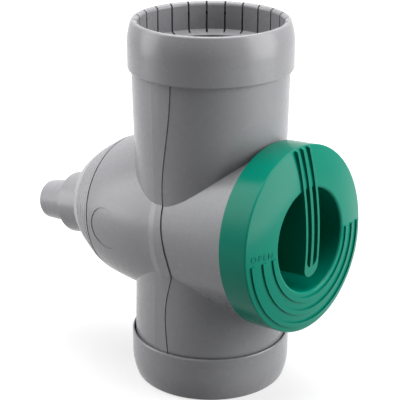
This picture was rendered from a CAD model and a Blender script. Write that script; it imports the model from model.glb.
import math

import bpy
from mathutils import Matrix, Vector
from mathutils.bvhtree import BVHTree


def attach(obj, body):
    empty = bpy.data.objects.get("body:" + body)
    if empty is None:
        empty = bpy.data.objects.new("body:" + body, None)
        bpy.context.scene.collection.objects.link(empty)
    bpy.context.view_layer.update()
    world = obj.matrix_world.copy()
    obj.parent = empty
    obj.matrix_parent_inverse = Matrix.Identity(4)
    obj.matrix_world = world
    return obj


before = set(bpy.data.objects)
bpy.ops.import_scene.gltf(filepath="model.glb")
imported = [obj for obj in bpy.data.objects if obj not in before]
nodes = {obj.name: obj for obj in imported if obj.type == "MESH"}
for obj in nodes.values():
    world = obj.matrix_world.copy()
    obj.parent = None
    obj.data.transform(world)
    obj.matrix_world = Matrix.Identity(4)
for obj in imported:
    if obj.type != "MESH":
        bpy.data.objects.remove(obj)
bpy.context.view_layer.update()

MM = 0.001
WHITE = (1, 1, 1, 1)

# The barrel's own frame, as in the part: Z out through the cap, X right and Y up, seen from the cap
BARREL_HEIGHT = 123.1 * MM
BARREL_TILT = math.radians(4.85)
BARREL = Matrix((
    (1, 0, 0, 0),
    (0, math.sin(BARREL_TILT), -math.cos(BARREL_TILT), 0),
    (0, math.cos(BARREL_TILT), math.sin(BARREL_TILT), BARREL_HEIGHT),
    (0, 0, 0, 1)))

# Camera, as fitted to the photograph
CAMERA_DISTANCE = 912.45 * MM
CAMERA_HEIGHT = 491.44 * MM
CAMERA_PITCH = 0.3695
CAMERA_AZIMUTH = math.radians(50.0)
CAMERA_YAW = -0.0087
CAMERA_ROLL = -0.0012
CAMERA_LENS = 118.02
CAMERA_SENSOR = 36.0

# Floor: half its side, and the distances from the object's axis between which it fades
FLOOR_REACH = 6.0
FADE_START = 0.25
FADE_END = 0.6
# The share of the bounce that is left where the fade ends
BOUNCE_LEFT = 0.2
# What the camera sees of the floor: a matt grey that takes the shadow, and a glow at both ends of the fade
FLOOR_MATT = (0.3, 0.3, 0.3, 1)
GLOW_START = 0.66
GLOW_END = 1.0

# Plastic: scale and detail of each noise, the band of its values in use, and how far it moves tone and gloss
MOTTLE_NOISE = (14, 3)
GLOSS_NOISE = (60, 4)
GRAIN_NOISE = (2600, 2)
NOISE_LOW = 0.3
NOISE_HIGH = 0.7
TONE_CHANGE = 0.03
GLOSS_CHANGE = 0.03
GRAIN_DEPTH = 0.2 * MM

# Letters: their spacing, the depth that tells their fronts from their backs, and the height along the barrel's
# axis, outside the cap, at which the rays that seat them start
LETTER_SPACING = 1.35
LETTER_HALF_DEPTH = 0.1
ABOVE_CAP = 150 * MM

# The point at which the lamps aim, in the middle of the object
LAMP_TARGET = (0, 0, 0.14)


def add_camera():
    """The camera, from its fitted distance, height and three small angles."""
    place = Vector((
        -math.sin(CAMERA_AZIMUTH) * CAMERA_DISTANCE,
        -math.cos(CAMERA_AZIMUTH) * CAMERA_DISTANCE,
        CAMERA_HEIGHT))
    heading = CAMERA_AZIMUTH + CAMERA_YAW
    level = Vector((math.sin(heading), math.cos(heading), 0))
    right = Vector((math.cos(heading), -math.sin(heading), 0))
    forward = level * math.cos(CAMERA_PITCH) - Vector((0, 0, 1)) * math.sin(CAMERA_PITCH)
    up = right.cross(forward)
    cos_roll = math.cos(CAMERA_ROLL)
    sin_roll = math.sin(CAMERA_ROLL)
    across = right * cos_roll + up * sin_roll
    upward = up * cos_roll - right * sin_roll
    turn = Matrix((across, upward, -forward)).transposed().to_4x4()
    data = bpy.data.cameras.new("camera")
    data.lens = CAMERA_LENS
    data.sensor_width = CAMERA_SENSOR
    camera = bpy.data.objects.new("camera", data)
    bpy.context.scene.collection.objects.link(camera)
    camera.matrix_world = Matrix.Translation(place) @ turn
    bpy.context.scene.camera = camera


def add_softbox(name, place, target, width, height, radiance):
    """A rectangular lamp of even radiance, aimed at a point."""
    data = bpy.data.lights.new(name, "AREA")
    data.shape = "RECTANGLE"
    data.size = width
    data.size_y = height
    data.energy = radiance * math.pi * width * height
    lamp = bpy.data.objects.new(name, data)
    bpy.context.scene.collection.objects.link(lamp)
    aim = (Vector(target) - Vector(place)).to_track_quat("-Z", "Y")
    lamp.matrix_world = Matrix.Translation(Vector(place)) @ aim.to_matrix().to_4x4()


def beside_camera(angle, distance, height):
    """A place round the object, at an angle in degrees from the camera, positive to the camera's right."""
    turn = CAMERA_AZIMUTH + math.pi - math.radians(angle)
    return (math.sin(turn) * distance, math.cos(turn) * distance, height)


def shown_background(tree, lit, white):
    """Shows the white shader to camera, glossy and transmission rays, and the lit one to all others."""
    path = tree.nodes.new("ShaderNodeLightPath")
    first = tree.nodes.new("ShaderNodeMath")
    first.operation = "MAXIMUM"
    tree.links.new(path.outputs["Is Camera Ray"], first.inputs[0])
    tree.links.new(path.outputs["Is Glossy Ray"], first.inputs[1])
    second = tree.nodes.new("ShaderNodeMath")
    second.operation = "MAXIMUM"
    tree.links.new(first.outputs[0], second.inputs[0])
    tree.links.new(path.outputs["Is Transmission Ray"], second.inputs[1])
    mix = tree.nodes.new("ShaderNodeMixShader")
    tree.links.new(second.outputs[0], mix.inputs[0])
    tree.links.new(lit, mix.inputs[1])
    tree.links.new(white, mix.inputs[2])
    return mix.outputs[0]


def map_range(tree, source, source_low, source_high, low, high):
    """Maps a value from one range to another and gives the result."""
    node = tree.nodes.new("ShaderNodeMapRange")
    node.inputs["From Min"].default_value = source_low
    node.inputs["From Max"].default_value = source_high
    node.inputs["To Min"].default_value = low
    node.inputs["To Max"].default_value = high
    tree.links.new(source, node.inputs["Value"])
    return node.outputs["Result"]


def set_world(ambient):
    """A dim even world that the camera and reflections see as white."""
    world = bpy.data.worlds.new("studio")
    bpy.context.scene.world = world
    world.use_nodes = True
    tree = world.node_tree
    tree.nodes.clear()
    dim = tree.nodes.new("ShaderNodeBackground")
    dim.inputs["Color"].default_value = WHITE
    dim.inputs["Strength"].default_value = ambient
    white = tree.nodes.new("ShaderNodeBackground")
    white.inputs["Color"].default_value = WHITE
    white.inputs["Strength"].default_value = 1.0
    out = tree.nodes.new("ShaderNodeOutputWorld")
    tree.links.new(shown_background(tree, dim.outputs[0], white.outputs[0]), out.inputs["Surface"])


def add_floor(bounce):
    """A pale floor that keeps the object's shadow; it sends up less light further from the object."""
    corners = [(x * FLOOR_REACH, y * FLOOR_REACH, 0) for x, y in ((-1, -1), (1, -1), (1, 1), (-1, 1))]
    mesh = bpy.data.meshes.new("floor")
    mesh.from_pydata(corners, [], [(0, 1, 2, 3)])
    floor = bpy.data.objects.new("floor", mesh)
    bpy.context.scene.collection.objects.link(floor)
    material = bpy.data.materials.new("floor_white")
    material.use_nodes = True
    tree = material.node_tree
    tree.nodes.clear()
    matt = tree.nodes.new("ShaderNodeBsdfDiffuse")
    place = tree.nodes.new("ShaderNodeNewGeometry")
    distance = tree.nodes.new("ShaderNodeVectorMath")
    distance.operation = "LENGTH"
    tree.links.new(place.outputs["Position"], distance.inputs[0])

    def fade(at_start, at_end):
        return map_range(tree, distance.outputs["Value"], FADE_START, FADE_END, at_start, at_end)

    tree.links.new(fade(bounce, bounce * BOUNCE_LEFT), matt.inputs["Color"])
    pale = tree.nodes.new("ShaderNodeBsdfDiffuse")
    pale.inputs["Color"].default_value = FLOOR_MATT
    glow = tree.nodes.new("ShaderNodeEmission")
    glow.inputs["Color"].default_value = WHITE
    tree.links.new(fade(GLOW_START, GLOW_END), glow.inputs["Strength"])
    lift = tree.nodes.new("ShaderNodeAddShader")
    tree.links.new(pale.outputs[0], lift.inputs[0])
    tree.links.new(glow.outputs[0], lift.inputs[1])
    out = tree.nodes.new("ShaderNodeOutputMaterial")
    tree.links.new(shown_background(tree, matt.outputs[0], lift.outputs[0]), out.inputs["Surface"])
    material.cycles.emission_sampling = "NONE"
    mesh.materials.append(material)


def plastic(name, colour, roughness, specular, grain):
    """Moulded plastic: faint mottling, uneven gloss and a fine moulded grain."""
    material = bpy.data.materials.new(name)
    material.use_nodes = True
    tree = material.node_tree
    shader = tree.nodes["Principled BSDF"]
    shader.inputs["Specular IOR Level"].default_value = specular
    coordinates = tree.nodes.new("ShaderNodeTexCoord")

    def noise(scale, detail):
        node = tree.nodes.new("ShaderNodeTexNoise")
        node.inputs["Scale"].default_value = scale
        node.inputs["Detail"].default_value = detail
        tree.links.new(coordinates.outputs["Object"], node.inputs["Vector"])
        return node.outputs["Fac"]

    def around(source, middle, change):
        return map_range(tree, source, NOISE_LOW, NOISE_HIGH, middle - change, middle + change)

    tone = tree.nodes.new("ShaderNodeHueSaturation")
    tone.inputs["Color"].default_value = (*colour, 1)
    tree.links.new(around(noise(*MOTTLE_NOISE), 1.0, TONE_CHANGE), tone.inputs["Value"])
    tree.links.new(tone.outputs["Color"], shader.inputs["Base Color"])
    tree.links.new(around(noise(*GLOSS_NOISE), roughness, GLOSS_CHANGE), shader.inputs["Roughness"])
    bump = tree.nodes.new("ShaderNodeBump")
    bump.inputs["Strength"].default_value = grain
    bump.inputs["Distance"].default_value = GRAIN_DEPTH
    tree.links.new(noise(*GRAIN_NOISE), bump.inputs["Height"])
    tree.links.new(bump.outputs["Normal"], shader.inputs["Normal"])
    return material


def dress(node, material):
    """Gives a CAD node its material."""
    mesh = nodes[node].data
    mesh.materials.clear()
    mesh.materials.append(material)


def add_letters(word, material, centre, width, height, turn, rise, sink):
    """Raised letters seated on the cap's face.

    Centre and turn are in the barrel's own frame. The letters' fronts stand proud of the face by rise, and
    their backs lie below it by sink.
    """
    curve = bpy.data.curves.new("letters", "FONT")
    curve.body = word
    curve.extrude = LETTER_HALF_DEPTH
    curve.space_character = LETTER_SPACING
    flat = bpy.data.objects.new("letters_flat", curve)
    bpy.context.scene.collection.objects.link(flat)
    bpy.context.view_layer.update()
    mesh = bpy.data.meshes.new_from_object(flat.evaluated_get(bpy.context.evaluated_depsgraph_get()))
    bpy.data.objects.remove(flat)
    points = [vertex.co.copy() for vertex in mesh.vertices]
    low = Vector(min(point[axis] for point in points) for axis in range(3))
    high = Vector(max(point[axis] for point in points) for axis in range(3))
    cap = nodes["turning_cap"].data
    face = BVHTree.FromPolygons(
        [vertex.co for vertex in cap.vertices],
        [polygon.vertices for polygon in cap.polygons])
    inward = BARREL.to_3x3() @ Vector((0, 0, -1))
    for vertex, point in zip(mesh.vertices, points):
        along = ((point.x - low.x) / (high.x - low.x) - 0.5) * width
        across = ((point.y - low.y) / (high.y - low.y) - 0.5) * height
        place = Vector((
            centre[0] + along * math.cos(turn) - across * math.sin(turn),
            centre[1] + along * math.sin(turn) + across * math.cos(turn),
            ABOVE_CAP))
        hit = face.ray_cast(BARREL @ place, inward)[0]
        vertex.co = hit - inward * (rise if point.z > 0 else -sink)
    letters = bpy.data.objects.new("letters", mesh)
    bpy.context.scene.collection.objects.link(letters)
    mesh.materials.clear()
    mesh.materials.append(material)
    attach(letters, "insert")


grey = plastic("grey_moulded", (0.237, 0.237, 0.248), roughness=0.27, specular=0.33, grain=0.12)
green = plastic("green_moulded", (0.0, 0.184, 0.122), roughness=0.19, specular=0.10, grain=0.10)
rubber = plastic("black_rubber", (0.02, 0.02, 0.02), roughness=0.6, specular=0.3, grain=0.2)
steel = plastic("brushed_screen", (0.55, 0.55, 0.56), roughness=0.35, specular=0.5, grain=0.2)
steel.node_tree.nodes["Principled BSDF"].inputs["Metallic"].default_value = 1.0

for name in ("front_housing", "rear_housing", "top_collar", "bottom_collar", "outlet_cap"):
    dress(name, grey)
for name in ("turning_cap", "filter_trough"):
    dress(name, green)
for name in ("top_collar_seal", "bottom_collar_seal", "outlet_seal", "cap_seal", "drum_seal"):
    dress(name, rubber)
dress("filter_screen", steel)

add_letters(
    "OPEN", green,
    centre=(-53.2 * MM, 3.5 * MM), width=19.2 * MM, height=3.9 * MM,
    turn=math.radians(-5), rise=0.4 * MM, sink=0.4 * MM)

add_camera()
add_floor(bounce=0.26)
set_world(ambient=0.025)
add_softbox(
    "overhead", beside_camera(angle=174, distance=0.335, height=1.53), LAMP_TARGET,
    width=1.49, height=1.49, radiance=5.56)
add_softbox(
    "left", beside_camera(angle=-91, distance=0.85, height=0.56), LAMP_TARGET,
    width=0.48, height=1.55, radiance=4.85)
add_softbox(
    "right", beside_camera(angle=73.5, distance=1.0, height=0.32), LAMP_TARGET,
    width=0.77, height=1.4, radiance=6.35)

bpy.context.scene.view_settings.view_transform = "Standard"
